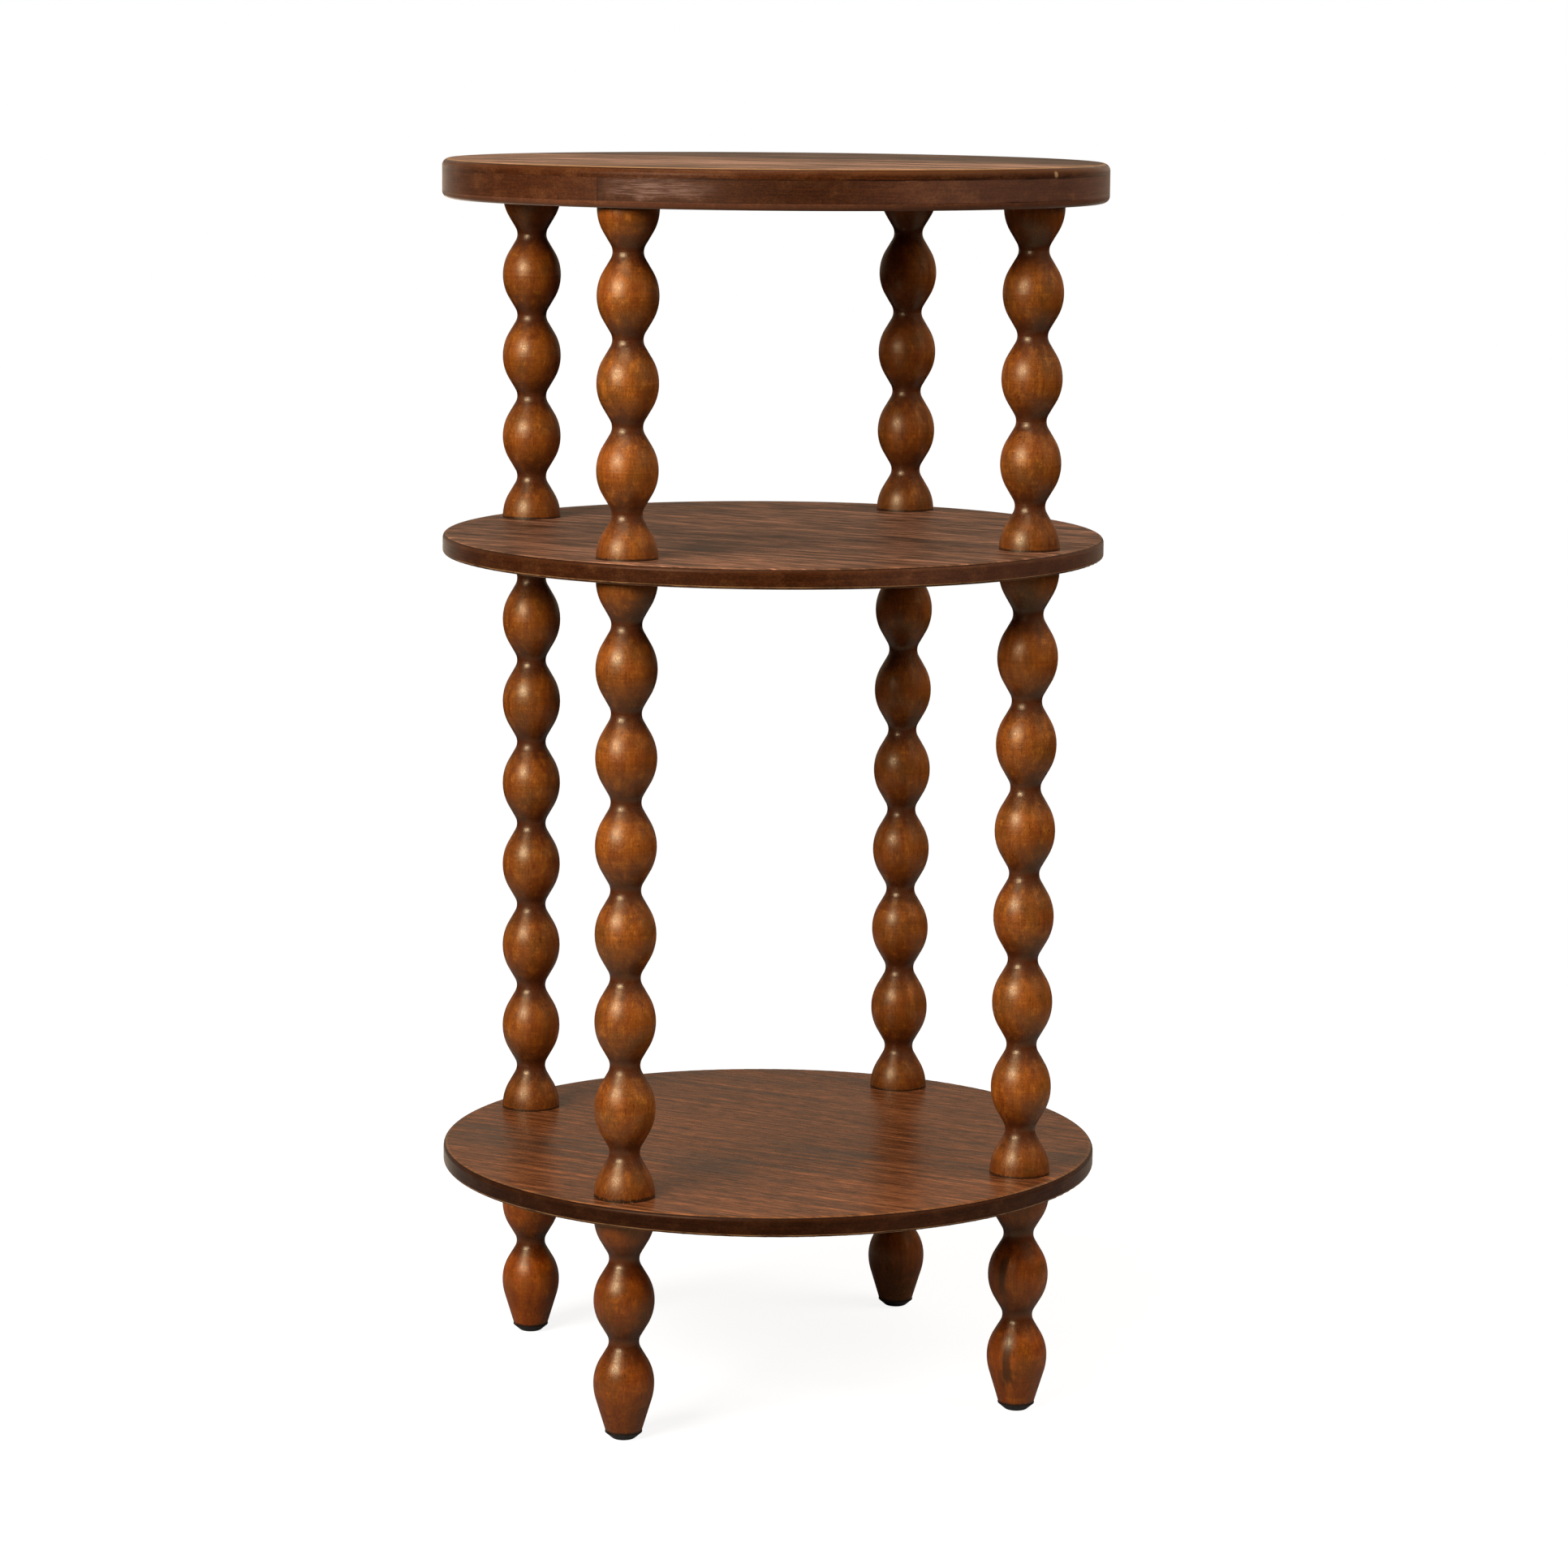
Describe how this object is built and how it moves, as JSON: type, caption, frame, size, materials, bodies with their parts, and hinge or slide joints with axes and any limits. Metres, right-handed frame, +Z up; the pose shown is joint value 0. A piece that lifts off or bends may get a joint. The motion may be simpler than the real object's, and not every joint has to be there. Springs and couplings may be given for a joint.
{
  "type": "tiered side table",
  "caption": "Round tiered side table: a thick veneered top over thinner open shelves, carried by turned bobbin legs on dark glides.",
  "frame": {"origin": "on the floor, under the middle of the round boards", "axes": "+Z up, -Y to the front, +X to the right; the legs stand on the diagonals between X and Y"},
  "size_m": [0.4, 0.4, 0.746],
  "materials": {
    "walnut_veneer": "satin lacquer",
    "back_veneer": "matt lacquer",
    "stained_edge": "satin lacquer over dark stain",
    "core_board": "raw board",
    "turned_wood": "semi-gloss lacquer over stain",
    "glide_plastic": "smooth moulded",
    "zinc_steel": "zinc plated"
  },
  "bodies": {
    "root": {"bottom_shelf_back_veneer": "back_veneer", "bottom_shelf_board": "stained_edge", "bottom_shelf_face_veneer": "walnut_veneer", "foot_front_left": "turned_wood", "foot_front_right": "turned_wood", "foot_hanger_bolts": "zinc_steel", "foot_rear_left": "turned_wood", "foot_rear_right": "turned_wood", "glide_front_left": "glide_plastic", "glide_front_right": "glide_plastic", "glide_nails": "zinc_steel", "glide_rear_left": "glide_plastic", "glide_rear_right": "glide_plastic", "lower_spindle_front_left": "turned_wood", "lower_spindle_front_right": "turned_wood", "lower_spindle_insert_nuts": "zinc_steel", "lower_spindle_rear_left": "turned_wood", "lower_spindle_rear_right": "turned_wood", "mid_hanger_bolts": "zinc_steel", "mid_shelf_back_veneer": "back_veneer", "mid_shelf_board": "stained_edge", "mid_shelf_face_veneer": "walnut_veneer", "top_backing_board": "stained_edge", "top_core": "core_board", "top_edge_strip": "stained_edge", "top_face_board": "stained_edge", "top_face_veneer": "walnut_veneer", "top_hanger_bolts": "zinc_steel", "top_insert_nuts": "zinc_steel", "upper_spindle_front_left": "turned_wood", "upper_spindle_front_right": "turned_wood", "upper_spindle_insert_nuts": "zinc_steel", "upper_spindle_rear_left": "turned_wood", "upper_spindle_rear_right": "turned_wood"}
  },
  "joints": []
}
